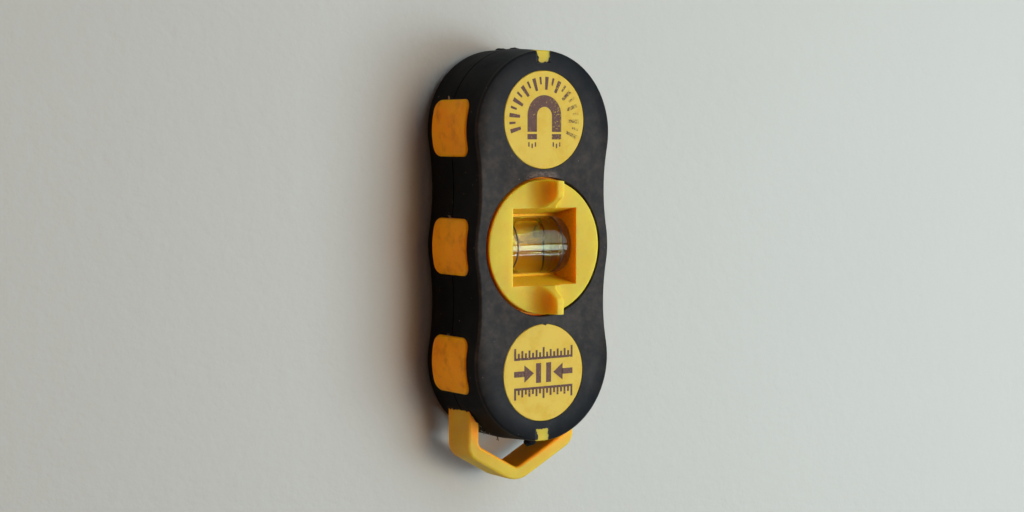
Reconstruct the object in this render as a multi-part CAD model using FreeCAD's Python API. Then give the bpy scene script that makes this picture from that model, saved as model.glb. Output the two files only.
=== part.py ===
"""Magnetic stud finder with a removable, rotating level.

A hollow plastic core with a lanyard loop wears a soft rubber jacket. Printed badges, grip pads and two
index marks show through the jacket. Two magnets sit behind the badges, flush with the back cover. The level
turret drops into a round well in the front and turns there on a rubber friction ring.

Frame, in millimetres: the origin is the middle of the flat back, +Z is up the long axis, +Y points out of
the back into the wall, and the front faces -Y. A depth is measured from the front face towards the back.
"""
import math
import os

import FreeCAD
import Part

Vector = FreeCAD.Vector

# Outline of the body seen from the front: round ends, two shallow waists and a swelling between them.
thickness = 23.0
end_radius = 19.6
end_centre_z = 27.45
waist_half_width = 18.3
waist_z = 13.7
middle_half_width = 19.5

# The ends are crowned: below the front face they reach this much further out.
seam_crown = 0.85
back_crown = 0.65

# Rubber jacket
jacket_side = 1.7
jacket_front = 1.8
back_lip = 2.7
front_rounding = 0.5
back_rounding = 2.4
seam_depth = 11.7
seam_width = 0.45
seam_groove = 0.18
gate_half_width = 3.2  # a shallow notch where the jacket was trimmed, on its top end
gate_depths = (13.3, 17.1)
gate_notch = 0.45
fit_gap = 0.05

# Plastic core and back cover
wall = 2.0
cover_thickness = 2.0
pad_pocket = 0.8
post_radius = 3.0
boss_radius = 2.7

# Printed badges
badge_radius = 11.75
badge_z = 30.45
badge_thickness = 0.8

# Index marks at the two ends
mark_x = -0.4
mark_width = 3.8
mark_inner_z = 44.05
mark_wrap_depth = 3.0

# Grip pads, three on each side
pad_height = 13.7
pad_front_depth = 4.35
pad_back_depth = 19.3
pad_z_positions = {"top": 28.4, "middle": 0.0, "bottom": -28.4}
pad_proud = 0.4
pad_crown = 0.5
pad_corner = 2.6
pad_edge = 0.8

# Lanyard loop: two legs leave the lower end and two arms meet in a blunt point, which is bent aside with use
loop_front_depth = 8.5
loop_back_depth = 18.0
loop_left_x = -15.9
loop_right_x = 15.5
loop_left_z = -50.6
loop_right_z = -49.6
loop_tip_x = -1.7
loop_tip_z = -58.6
loop_leg_band = 3.0
loop_arm_band = 3.4
loop_root_z = -36.0
loop_edge = 0.7

# Magnets with their steel keepers
magnet_radius = 6.35
magnet_thickness = 4.8
magnet_lip = 0.4
magnet_lip_overlap = 0.45
keeper_thickness = 1.2
cup_wall = 1.6

# Screws that hold the back cover
screw_x = 10.0
screw_z = 18.8
shank_radius = 1.2
shank_length = 9.0
head_radius = 2.3
head_height = 1.3
head_recess = 0.3
cross_width = 0.55
cross_length = 2.6
cross_depth = 0.8

# Well for the level turret
well_opening_radius = 16.75
well_chamfer = 0.2
ledge_radius = 16.75
ledge_depth = 2.8
bore_radius = 14.1
bore_depth = 18.4
bore_wall = 1.6

# Level turret
bezel_radius = 16.2
bezel_proud = 0.4
bezel_rounding = 0.4
flange_back_depth = 2.7
skirt_radius = 13.8
skirt_inner_radius = 11.4
skirt_back_depth = 15.6
cradle_back_depth = 16.8
cradle_wall = 1.6
window_half_width = 9.4
window_half_height = 9.3
window_throat_half_height = 7.6
ring_section_radius = 0.95
ring_depth = 11.5
ring_groove_width = 2.0

# Finger fins on the bezel: a crest with a hollow flank on each side and a ramp down to the window
fin_height = 6.5
fin_end_radius = 15.9
fin_crest_half_width = 1.05
fin_flank = 4.7
fin_ramp_start_height = 2.0
fin_ramp_run = 2.9
fin_crest_rounding = 0.45
fin_ramp_rounding = 1.6

# Bubble vial, lying across the turret
vial_x = 0.1
vial_radius = 6.9
vial_half_length = 9.25
vial_axis_depth = 8.3
vial_edge = 0.35
vial_seat_gap = 0.1
vial_bore_radius = 4.8
vial_bore_end = 7.9
plug_length = 1.5
line_offset = 6.7
line_width = 0.42
line_inset = 0.08
line_proud = 0.02
bubble_radius = 2.28
bubble_rise = 2.42
bubble_half_length = 4.4
bubble_travel = 3.0

reach = 60.0  # longer than any single feature that a cut has to pass through

core_back_depth = thickness - cover_thickness
magnet_face_depth = thickness - magnet_lip
magnet_back_depth = magnet_face_depth - magnet_thickness
keeper_back_depth = magnet_back_depth - keeper_thickness
screw_head_depth = thickness - head_recess - head_height


def y_at(depth):
    """The Y of a depth below the front face."""
    return depth - thickness


def arc(centre_x, centre_z, radius, start, end):
    """An arc in the XZ plane between two angles in degrees."""
    angles = [math.radians(a) for a in (start, (start + end) / 2, end)]
    points = [Vector(centre_x + radius * math.cos(a), 0, centre_z + radius * math.sin(a)) for a in angles]
    return Part.Arc(*points).toShape()


def outline(inset, crown=0.0):
    """The body's closed outline, moved inwards by inset, with its round ends a crown further out.

    The waists are arcs tangent to the round ends, and the middle is an arc tangent to both waists.
    """
    end_z = end_centre_z + crown
    rise = end_z - waist_z
    waist_radius = (waist_half_width**2 + rise**2 - end_radius**2) / (2 * (end_radius - waist_half_width))
    waist_x = waist_half_width + waist_radius
    gap = waist_x - middle_half_width
    middle_radius = (gap**2 + waist_z**2 - waist_radius**2) / (2 * (waist_radius - gap))
    middle_x = middle_half_width - middle_radius
    end_angle = math.degrees(math.atan2(-rise, waist_x))
    middle_angle = math.degrees(math.atan2(waist_z, waist_x - middle_x))
    end, waist, middle = end_radius - inset, waist_radius + inset, middle_radius - inset
    arcs = [
        arc(0, end_z, end, 180 - end_angle, end_angle),
        arc(waist_x, waist_z, waist, 180 + end_angle, 180 + middle_angle),
        arc(middle_x, 0, middle, middle_angle, -middle_angle),
        arc(waist_x, -waist_z, waist, 180 - middle_angle, 180 - end_angle),
        arc(0, -end_z, end, -end_angle, end_angle - 180),
        arc(-waist_x, -waist_z, waist, end_angle, middle_angle),
        arc(-middle_x, 0, middle, 180 + middle_angle, 180 - middle_angle),
        arc(-waist_x, waist_z, waist, -middle_angle, -end_angle),
    ]
    return Part.Wire(arcs)


def slab(inset, front, back, crown=0.0):
    """The outline as a solid between two depths."""
    face = Part.Face(outline(inset, crown))
    face.translate(Vector(0, y_at(front), 0))
    return face.extrude(Vector(0, back - front, 0))


def rod(radius, front, back, x=0.0, z=0.0):
    """A cylinder along the depth."""
    return Part.makeCylinder(radius, back - front, Vector(x, y_at(front), z), Vector(0, 1, 0))


def block(x_range, depth_range, z_range):
    """A box between two Xs, two depths and two Zs."""
    low = Vector(x_range[0], y_at(depth_range[0]), z_range[0])
    sizes = [high - lower for lower, high in (x_range, depth_range, z_range)]
    return Part.makeBox(*sizes, low)


def cross_rod(radius, x_from, x_to, z=0.0):
    """A cylinder along X at the depth of the vial's axis."""
    base = Vector(vial_x + x_from, y_at(vial_axis_depth), z)
    return Part.makeCylinder(radius, x_to - x_from, base, Vector(1, 0, 0))


def rounded_wire(corners):
    """A closed wire through (point, radius) corners, each rounded by an arc tangent to its two sides."""
    count = len(corners)
    edges, previous_end, first_start = [], None, None
    for i, (point, radius) in enumerate(corners):
        before = (corners[i - 1][0] - point).normalize()
        after = (corners[(i + 1) % count][0] - point).normalize()
        half_turn = before.getAngle(after) / 2
        setback = radius / math.tan(half_turn)
        start, end = point + before * setback, point + after * setback
        if previous_end is not None:
            edges.append(Part.LineSegment(previous_end, start).toShape())
        if radius > 0:
            towards = (before + after).normalize()
            middle = point + towards * (radius / math.sin(half_turn) - radius)
            edges.append(Part.Arc(start, middle, end).toShape())
        first_start = first_start or start
        previous_end = end
    edges.append(Part.LineSegment(previous_end, first_start).toShape())
    return Part.Wire(edges)


def fuse_all(shapes):
    return shapes[0].multiFuse(shapes[1:]).removeSplitter()


def edges_at_depth(shape, depth):
    """The edges that lie in the plane of a depth."""
    y = y_at(depth)
    return [e for e in shape.Edges if abs(e.BoundBox.YMin - y) < 1e-4 and abs(e.BoundBox.YMax - y) < 1e-4]


def jacket_envelope():
    """The body's outer shape: three outlines joined in depth, with rounded front and back edges."""
    sections = []
    for depth, crown in ((0, 0), (seam_depth, seam_crown), (thickness, back_crown)):
        section = outline(0, crown)
        section.translate(Vector(0, y_at(depth), 0))
        sections.append(section)
    solid = Part.makeLoft(sections, True, True)
    solid = solid.makeFillet(front_rounding, edges_at_depth(solid, 0))
    return solid.makeFillet(back_rounding, edges_at_depth(solid, thickness))


def mark_space(end, gap):
    """The space of the index mark at the upper (1) or lower (-1) end, widened by gap."""
    half = mark_width / 2 + gap
    z_range = sorted((end * (mark_inner_z - gap), end * reach))
    return block((mark_x - half, mark_x + half), (-1, mark_wrap_depth + gap), z_range)


def pad_prism(side, z, gap):
    """A prism along X with a pad's rounded outline, on the right (1) or left (-1), widened by gap."""
    front, back = y_at(pad_front_depth - gap), y_at(pad_back_depth + gap)
    low, high = z - pad_height / 2 - gap, z + pad_height / 2 + gap
    start = side * (bore_radius - wall)
    places = ((front, low), (front, high), (back, high), (back, low))
    wire = rounded_wire([(Vector(start, y, place_z), pad_corner + gap) for y, place_z in places])
    return Part.Face(wire).extrude(Vector(side * (reach - bore_radius), 0, 0))


def make_pad(side, z):
    """One grip pad: it follows the body's outline, stands proud of it and is seated in the core."""
    shell = slab(-pad_proud, 0, thickness, pad_crown).cut(slab(jacket_side + pad_pocket, 0, thickness))
    pad = shell.common(pad_prism(side, z, 0))
    limit = side * (waist_half_width - 2 * wall)
    inside = [e for e in pad.Edges if side * e.CenterOfMass.x < side * limit]
    outer = [e for e in pad.Edges if on_pad_rim(e) and e not in inside]
    return pad.makeFillet(pad_edge, outer)


def on_pad_rim(edge):
    """Whether an edge borders the pad's outer face: both its ends lie on the proud outline."""
    rim = outline(-pad_proud, pad_crown)
    for vertex in edge.Vertexes:
        flat = Part.Vertex(vertex.X, 0, vertex.Z)
        if rim.distToShape(flat)[0] > 1e-3:
            return False
    middle = edge.valueAt((edge.FirstParameter + edge.LastParameter) / 2)
    inside_pad = pad_front_depth + 1e-3 < middle.y + thickness < pad_back_depth - 1e-3
    along_outline = abs(edge.BoundBox.YLength) < 1e-4
    return along_outline or inside_pad


def loop_profile():
    """The loop's band seen from the front, as a face. Each arm's inner side is parallel to its outer side."""
    left_slope = (loop_left_z - loop_tip_z) / (loop_left_x - loop_tip_x)
    right_slope = (loop_right_z - loop_tip_z) / (loop_right_x - loop_tip_x)
    left_rise = loop_arm_band * math.hypot(1, left_slope)
    right_rise = loop_arm_band * math.hypot(1, right_slope)
    aside = (left_rise - right_rise) / (right_slope - left_slope)
    inner_left_x = loop_left_x + loop_leg_band
    inner_right_x = loop_right_x - loop_leg_band
    corners = [
        (loop_left_x, loop_root_z, 0),
        (loop_left_x, loop_left_z, 4.2),
        (loop_tip_x, loop_tip_z, 7.0),
        (loop_right_x, loop_right_z, 4.2),
        (loop_right_x, loop_root_z, 0),
        (inner_right_x, loop_root_z, 0),
        (inner_right_x, loop_tip_z + right_rise + right_slope * (inner_right_x - loop_tip_x), 1.6),
        (loop_tip_x + aside, loop_tip_z + left_rise + left_slope * aside, 1.4),
        (inner_left_x, loop_tip_z + left_rise + left_slope * (inner_left_x - loop_tip_x), 1.6),
        (inner_left_x, loop_root_z, 0),
    ]
    return Part.Face(rounded_wire([(Vector(x, 0, z), radius) for x, z, radius in corners]))


def make_loop():
    face = loop_profile()
    face.translate(Vector(0, y_at(loop_front_depth), 0))
    loop = face.extrude(Vector(0, loop_back_depth - loop_front_depth, 0))
    rims = edges_at_depth(loop, loop_front_depth) + edges_at_depth(loop, loop_back_depth)
    rims = [e for e in rims if e.CenterOfMass.z < loop_root_z - 1e-3]
    return loop.makeFillet(loop_edge, rims)


def screw_places():
    return [(x, z) for x in (-screw_x, screw_x) for z in (-screw_z, screw_z)]


def make_core():
    """The plastic core: shell, turret well, magnet posts, screw bosses, badge seats, marks and loop."""
    shell = slab(jacket_side, jacket_front, core_back_depth)
    shell = shell.cut(slab(jacket_side + wall, jacket_front + wall, core_back_depth + 1))
    parts = [shell, rod(bore_radius + bore_wall, jacket_front, bore_depth + bore_wall), make_loop()]
    envelope = jacket_envelope()
    for end in (1, -1):
        parts.append(rod(badge_radius, badge_thickness, jacket_front + wall, z=end * badge_z))
        parts.append(rod(post_radius, jacket_front, keeper_back_depth, z=end * badge_z))
        parts.append(envelope.common(mark_space(end, 0)).cut(slab(jacket_side + wall, 0, thickness)))
        z_range = sorted((end * mark_inner_z, end * (end_centre_z + end_radius - jacket_side)))
        x_range = (mark_x - mark_width / 2, mark_x + mark_width / 2)
        parts.append(block(x_range, (jacket_front, mark_wrap_depth), z_range))
    parts += [rod(boss_radius, jacket_front, core_back_depth, x, z) for x, z in screw_places()]
    core = fuse_all(parts)
    core = core.cut(rod(bore_radius, -1, bore_depth)).cut(rod(ledge_radius, -1, ledge_depth))
    for x, z in screw_places():
        core = core.cut(rod(shank_radius, screw_head_depth - shank_length, core_back_depth + 1, x, z))
    pocket_ring = slab(-1, 0, thickness).cut(slab(jacket_side + pad_pocket, 0, thickness))
    for side in (1, -1):
        for z in pad_z_positions.values():
            core = core.cut(pocket_ring.common(pad_prism(side, z, fit_gap)))
    return core.removeSplitter()


def make_jacket(core):
    """The rubber jacket, with openings for all that shows through it and a seam groove round its side."""
    jacket = jacket_envelope().cut(slab(jacket_side, jacket_front, core_back_depth))
    jacket = jacket.cut(slab(back_lip, jacket_front, thickness + 1))
    jacket = jacket.cut(rod(well_opening_radius, -1, jacket_front + 1))
    rim = [e for e in edges_at_depth(jacket, 0) if abs(e.Length - 2 * math.pi * well_opening_radius) < 1e-3]
    jacket = jacket.makeChamfer(well_chamfer, rim)
    seam = slab(-1, seam_depth - seam_width / 2, seam_depth + seam_width / 2, seam_crown)
    seam = seam.cut(slab(seam_groove, 0, thickness, seam_crown))
    top = end_centre_z + seam_crown + end_radius
    gate = block((-gate_half_width, gate_half_width), gate_depths, (top - gate_notch, top + 1))
    jacket = jacket.cut(seam).cut(gate)
    for end in (1, -1):
        jacket = jacket.cut(rod(badge_radius + 2 * fit_gap, -1, jacket_front + 1, z=end * badge_z))
        jacket = jacket.cut(mark_space(end, fit_gap))
    for side in (1, -1):
        for z in pad_z_positions.values():
            jacket = jacket.cut(pad_prism(side, z, fit_gap))
    return jacket.cut(core).removeSplitter()


def make_badge(end):
    """A thin printed disc, flush with the front of the jacket."""
    badge = rod(badge_radius, 0, badge_thickness, z=end * badge_z)
    return badge.makeChamfer(0.12, edges_at_depth(badge, 0))


def make_back_cover():
    """The flat back, with a cup for each magnet and a recess for each screw."""
    cover = slab(back_lip + fit_gap, core_back_depth, thickness)
    cup_front = keeper_back_depth
    for end in (1, -1):
        cover = cover.fuse(rod(magnet_radius + cup_wall, cup_front, thickness, z=end * badge_z))
    for end in (1, -1):
        seat = rod(magnet_radius + fit_gap, cup_front - 1, magnet_face_depth, z=end * badge_z)
        cover = cover.cut(seat)
        cover = cover.cut(rod(magnet_radius - magnet_lip_overlap, cup_front, thickness + 1, z=end * badge_z))
    for x, z in screw_places():
        cover = cover.cut(rod(shank_radius + 2 * fit_gap, core_back_depth - 1, thickness, x, z))
        cover = cover.cut(rod(head_radius + 2 * fit_gap, screw_head_depth, thickness + 1, x, z))
    return cover.removeSplitter()


def make_magnet(end):
    magnet = rod(magnet_radius, magnet_back_depth, magnet_face_depth, z=end * badge_z)
    return magnet.makeChamfer(0.25, edges_at_depth(magnet, magnet_face_depth))


def make_keeper(end):
    return rod(magnet_radius, keeper_back_depth, magnet_back_depth, z=end * badge_z)


def make_screws():
    """Four pan-head screws with a cross recess."""
    screws = []
    for x, z in screw_places():
        head = rod(head_radius, screw_head_depth, screw_head_depth + head_height, x, z)
        head = head.makeFillet(0.5, edges_at_depth(head, screw_head_depth + head_height))
        screw = head.fuse(rod(shank_radius, screw_head_depth - shank_length, screw_head_depth, x, z))
        top = screw_head_depth + head_height
        for half_x, half_z in ((cross_length, cross_width), (cross_width, cross_length)):
            slot = block((x - half_x / 2, x + half_x / 2), (top - cross_depth, top + 1),
                         (z - half_z / 2, z + half_z / 2))
            screw = screw.cut(slot)
        screws.append(screw)
    return Part.makeCompound(screws)


def fin_section(x_sign):
    """The points of one half of a fin's section: crest, shoulder, middle of the hollow flank and foot."""
    crest_y = y_at(-bezel_proud - fin_height)
    flank_y = y_at(-bezel_proud - fin_flank)
    foot_x = fin_crest_half_width + fin_flank
    lean = fin_flank * math.sqrt(0.5)
    arc_middle = Vector(x_sign * (foot_x - lean), flank_y + lean, 0)
    crest = Vector(x_sign * fin_crest_half_width, crest_y, 0)
    shoulder = Vector(x_sign * fin_crest_half_width, flank_y, 0)
    foot = Vector(x_sign * foot_x, y_at(-bezel_proud), 0)
    return crest, shoulder, arc_middle, foot


def make_fin():
    """The upper finger fin, before it is joined to the bezel."""
    left, right = fin_section(-1), fin_section(1)
    root_y = Vector(0, 1.0, 0)
    edges = [
        Part.LineSegment(left[0], right[0]).toShape(),
        Part.LineSegment(right[0], right[1]).toShape(),
        Part.Arc(right[1], right[2], right[3]).toShape(),
        Part.LineSegment(right[3], right[3] + root_y).toShape(),
        Part.LineSegment(right[3] + root_y, left[3] + root_y).toShape(),
        Part.LineSegment(left[3] + root_y, left[3]).toShape(),
        Part.Arc(left[3], left[2], left[1]).toShape(),
        Part.LineSegment(left[1], left[0]).toShape(),
    ]
    face = Part.Face(Part.Wire(edges))
    face.translate(Vector(0, 0, window_half_height))
    fin = face.extrude(Vector(0, 0, bezel_radius))
    ramp_slope = (fin_height - fin_ramp_start_height) / fin_ramp_run
    climb = fin_height + 2 - fin_ramp_start_height
    foot_y = y_at(-bezel_proud - fin_ramp_start_height)
    corners = [
        Vector(-reach / 2, foot_y, window_half_height),
        Vector(-reach / 2, foot_y - climb, window_half_height + climb / ramp_slope),
        Vector(-reach / 2, foot_y - climb, window_half_height - 1),
        Vector(-reach / 2, foot_y, window_half_height - 1),
    ]
    ramp = Part.Face(Part.makePolygon(corners + corners[:1])).extrude(Vector(reach, 0, 0))
    fin = fin.cut(ramp)
    crest_y = y_at(-bezel_proud - fin_height)
    brow = [e for e in fin.Edges if abs(e.BoundBox.YMin - crest_y) < 1e-4 and e.BoundBox.YLength < 1e-4
            and e.BoundBox.ZLength < 1e-4 and e.CenterOfMass.z < bezel_radius]
    fin = fin.makeFillet(fin_ramp_rounding, brow)
    upright = [e for e in fin.Edges if abs(abs(e.CenterOfMass.x) - fin_crest_half_width) < 1e-3
               and e.CenterOfMass.y < y_at(-bezel_proud - fin_flank) and e.BoundBox.XLength < 1e-4
               and e.CenterOfMass.z < window_half_height + bezel_radius - 1e-3]
    fin = fin.makeFillet(fin_crest_rounding, upright)
    taper = (bezel_radius - fin_end_radius) / fin_height
    lean = Part.makeCone(bezel_radius + 2 * taper, fin_end_radius, fin_height + 2,
                         Vector(0, y_at(2 - bezel_proud), 0), Vector(0, -1, 0))
    return fin.common(rod(bezel_radius, -reach, thickness)).common(lean)


def window_space():
    """The pocket in the bezel: drafted walls down to the vial's axis, then a round seat under the vial."""
    front = -bezel_proud
    run = vial_axis_depth - front
    slope = (window_half_height - window_throat_half_height) / run
    mouth = window_half_height + slope
    mouth_y, throat_y = y_at(front - 1), y_at(vial_axis_depth)
    x = -window_half_width
    corners = [
        Vector(x, mouth_y, -mouth),
        Vector(x, mouth_y, mouth),
        Vector(x, throat_y, window_throat_half_height),
        Vector(x, throat_y, -window_throat_half_height),
    ]
    across = Vector(2 * window_half_width, 0, 0)
    funnel = Part.Face(Part.makePolygon(corners + corners[:1])).extrude(across)
    seat = Part.makeCylinder(vial_radius + vial_seat_gap, 2 * window_half_width,
                             Vector(x, throat_y, 0), Vector(1, 0, 0))
    return funnel.fuse(seat).removeSplitter()


def make_bezel():
    """The turret: a flange with finger fins, a skirt with the ring groove and a cradle for the vial."""
    flange = rod(bezel_radius, -bezel_proud, flange_back_depth)
    flange = flange.makeFillet(bezel_rounding, edges_at_depth(flange, -bezel_proud))
    skirt = rod(skirt_radius, flange_back_depth - 1, skirt_back_depth)
    skirt = skirt.cut(rod(skirt_inner_radius, flange_back_depth, skirt_back_depth + 1))
    half_x = window_half_width + cradle_wall
    half_z = window_throat_half_height + cradle_wall
    cradle = block((-half_x, half_x), (flange_back_depth - 1, cradle_back_depth), (-half_z, half_z))
    cradle = cradle.common(rod(skirt_radius - 1, 0, thickness))
    fin = make_fin()
    other_fin = fin.mirror(Vector(0, 0, 0), Vector(0, 0, 1))
    bezel = fuse_all([flange, skirt, cradle, fin, other_fin])
    groove_radius = bore_radius - fit_gap - 2 * ring_section_radius - fit_gap
    groove = rod(bore_radius, ring_depth - ring_groove_width / 2, ring_depth + ring_groove_width / 2)
    groove = groove.cut(rod(groove_radius, 0, thickness))
    return bezel.cut(groove).cut(window_space()).removeSplitter()


def make_friction_ring():
    centre_radius = bore_radius - fit_gap - ring_section_radius
    return Part.makeTorus(centre_radius, ring_section_radius, Vector(0, y_at(ring_depth), 0), Vector(0, 1, 0))


def line_space(offset, inner, outer):
    """A thin ring round the vial, at an offset along it."""
    ring = cross_rod(outer, offset - line_width / 2, offset + line_width / 2)
    return ring.cut(cross_rod(inner, offset - line_width / 2, offset + line_width / 2))


def make_vial_barrel():
    """The clear barrel: bored from its left end, closed at the right, with a shallow groove for each line."""
    barrel = cross_rod(vial_radius, -vial_half_length, vial_half_length)
    rims = [e for e in barrel.Edges if e.BoundBox.XLength < 1e-4]
    barrel = barrel.makeFillet(vial_edge, rims)
    barrel = barrel.cut(cross_rod(vial_bore_radius, -vial_half_length - 1, vial_bore_end))
    for side in (-1, 1):
        barrel = barrel.cut(line_space(side * line_offset, vial_radius - line_inset, vial_radius + 1))
    return barrel


def make_vial_plug():
    return cross_rod(vial_bore_radius, -vial_half_length, -vial_half_length + plug_length)


def make_vial_lines():
    inner, outer = vial_radius - line_inset, vial_radius + line_proud
    return Part.makeCompound([line_space(side * line_offset, inner, outer) for side in (-1, 1)])


def capsule(radius, half_length):
    """A round-ended rod along the top of the vial's bore."""
    straight = half_length - radius
    y = y_at(vial_axis_depth)
    ends = [Part.makeSphere(radius, Vector(vial_x + side * straight, y, bubble_rise)) for side in (-1, 1)]
    return fuse_all([cross_rod(radius, -straight, straight, bubble_rise)] + ends)


def make_vial_fluid():
    """The liquid, with a channel along its top as long as the bubble's whole travel."""
    fluid = cross_rod(vial_bore_radius, plug_length - vial_half_length, vial_bore_end)
    return fluid.cut(capsule(bubble_radius + fit_gap, bubble_half_length + bubble_travel + fit_gap))


def build():
    core = make_core()
    parts = {
        "core_shell": core,
        "rubber_jacket": make_jacket(core),
        "back_cover": make_back_cover(),
        "back_screws": make_screws(),
        "level_bezel": make_bezel(),
        "friction_ring": make_friction_ring(),
        "vial_barrel": make_vial_barrel(),
        "vial_plug": make_vial_plug(),
        "vial_lines": make_vial_lines(),
        "vial_fluid": make_vial_fluid(),
        "vial_bubble": capsule(bubble_radius, bubble_half_length),
    }
    for name, end in (("top", 1), ("bottom", -1)):
        parts[f"badge_{name}"] = make_badge(end)
        parts[f"magnet_{name}"] = make_magnet(end)
        parts[f"magnet_keeper_{name}"] = make_keeper(end)
    for side_name, side in (("left", -1), ("right", 1)):
        for place, z in pad_z_positions.items():
            parts[f"grip_pad_{side_name}_{place}"] = make_pad(side, z)
    return parts


os.makedirs("parts", exist_ok=True)
for node, shape in build().items():
    solids = shape.Solids
    sound = all(s.isValid() and s.isClosed() and s.Volume > 0 for s in solids)
    print(f"{node}: {len(solids)} solid(s), {shape.Volume:.1f} mm3, {'sound' if sound else 'NOT SOUND'}")
    shape.exportStep(f"parts/{node}.step")
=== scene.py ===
"""Looks, light and camera for the magnetic stud finder with a lift-out level.

Everything is in metres in the part's own frame: the flat back is the plane Y = 0, the front faces -Y and +Z
is up the long axis. Sizes written in millimetres go through MM. The case and the turret keep their CAD
meshes. The pieces added here are the printed badge marks, the vial's liquid and bubble, and the moulding
flash, hairs and lint that a used tool shows.
"""

import math
import random

import bpy
from mathutils import Matrix, Vector, noise
from mathutils.bvhtree import BVHTree


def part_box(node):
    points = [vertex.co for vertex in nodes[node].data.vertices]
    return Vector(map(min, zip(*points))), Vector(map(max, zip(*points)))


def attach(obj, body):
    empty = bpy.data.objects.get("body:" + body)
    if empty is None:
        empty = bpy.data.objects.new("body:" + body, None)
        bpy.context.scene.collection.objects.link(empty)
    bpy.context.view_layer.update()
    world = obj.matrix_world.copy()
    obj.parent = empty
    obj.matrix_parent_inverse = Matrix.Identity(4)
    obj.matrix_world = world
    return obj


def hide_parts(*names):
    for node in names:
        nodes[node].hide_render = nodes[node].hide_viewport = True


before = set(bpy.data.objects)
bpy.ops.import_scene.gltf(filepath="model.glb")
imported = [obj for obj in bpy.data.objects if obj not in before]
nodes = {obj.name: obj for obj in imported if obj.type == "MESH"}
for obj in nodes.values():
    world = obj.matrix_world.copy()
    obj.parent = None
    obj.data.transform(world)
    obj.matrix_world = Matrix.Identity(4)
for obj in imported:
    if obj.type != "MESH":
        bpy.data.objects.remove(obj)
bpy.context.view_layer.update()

MM = 0.001

# Sizes shared with the CAD part, read from its boxes where they can be
jacket_low, jacket_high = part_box("rubber_jacket")
badge_low, badge_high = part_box("badge_top")
bore_low, bore_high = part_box("vial_fluid")
bubble_low, bubble_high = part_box("vial_bubble")

FRONT_Y = jacket_low.y
END_RADIUS = 19.6 * MM
SEAM_CROWN = 0.85 * MM
FRONT_END_Z = jacket_high.z - END_RADIUS - SEAM_CROWN
SEAM_DEPTH = 11.7 * MM
FRONT_ROUNDING = 0.5 * MM
BADGE_Z = (badge_low.z + badge_high.z) / 2
BADGE_RADIUS = (badge_high.x - badge_low.x) / 2
PADS = [name for name in nodes if name.startswith("grip_pad")]

# The key light is a tall window in panes. Its direction is in degrees right of the wall's normal. Each pane
# has its rise, width and height as parts of the distance, and the watts that it would need at one metre.
KEY_ANGLE, KEY_DISTANCE = 31.0, 0.58
PANES = ((0.58, 0.9, 1.0, 7.3), (-0.14, 0.84, 0.32, 7.4), (-0.56, 0.6, 0.05, 1.7), (-1.0, 0.5, 0.04, 1.2))


# ---------------------------------------------------------------- materials

class Look:
    """A material built round one Principled shader, with short ways to add what feeds it."""

    def __init__(self, name, **sockets):
        self.material = bpy.data.materials.new(name)
        self.material.use_nodes = True
        self.tree = self.material.node_tree
        self.shader = self.tree.nodes["Principled BSDF"]
        self.output = self.tree.nodes["Material Output"]
        for socket, value in sockets.items():
            self.shader.inputs[socket.replace("_", " ")].default_value = value
        self.place = self.add("ShaderNodeTexCoord", {}).outputs["Object"]

    def add(self, kind, inputs, **settings):
        node = self.tree.nodes.new(kind)
        for key, value in settings.items():
            setattr(node, key, value)
        for key, value in inputs.items():
            self.feed(node.inputs[key], value)
        return node

    def feed(self, socket, value):
        """Links another socket to this one, or sets its own value."""
        if isinstance(value, bpy.types.NodeSocket):
            self.tree.links.new(value, socket)
        else:
            socket.default_value = value

    def set(self, **sockets):
        for socket, value in sockets.items():
            self.feed(self.shader.inputs[socket.replace("_", " ")], value)
        return self

    def noise(self, size, detail=3.0, roughness=0.55, stretch=(1, 1, 1), shift=0.0):
        """Noise from 0 to 1, with features about size metres long."""
        where = self.add("ShaderNodeMapping", {"Vector": self.place, "Scale": stretch,
                                               "Location": (shift, shift, shift)})
        inputs = {"Vector": where.outputs[0], "Scale": 1 / size, "Detail": detail, "Roughness": roughness}
        return self.add("ShaderNodeTexNoise", inputs).outputs["Fac"]

    def between(self, value, low, high, out_low=0.0, out_high=1.0):
        """Value mapped smoothly from low..high to out_low..out_high, and held there outside."""
        inputs = {"Value": value, "From Min": low, "From Max": high, "To Min": out_low, "To Max": out_high}
        return self.add("ShaderNodeMapRange", inputs, interpolation_type="SMOOTHSTEP").outputs[0]

    def mix(self, factor, first, second):
        """Two colours mixed."""
        return self.add("ShaderNodeMix", {0: factor, 6: first, 7: second}, data_type="RGBA").outputs[2]

    def maths(self, operation, first, second=0.0):
        return self.add("ShaderNodeMath", {0: first, 1: second}, operation=operation).outputs[0]

    def axis(self, letter):
        """One coordinate of the place on the piece."""
        return self.add("ShaderNodeSeparateXYZ", {0: self.place}).outputs[letter]

    def hollow(self, reach, inside=False):
        """0 in a crevice to 1 in the open, or with inside, 0 on an edge to 1 on a flat."""
        inputs = {"Distance": reach}
        return self.add("ShaderNodeAmbientOcclusion", inputs, inside=inside, samples=8).outputs["AO"]

    def bump(self, height, depth, strength=1.0, normal=None):
        inputs = {"Height": height, "Distance": depth, "Strength": strength}
        if normal is not None:
            inputs["Normal"] = normal
        return self.add("ShaderNodeBump", inputs).outputs[0]


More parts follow.
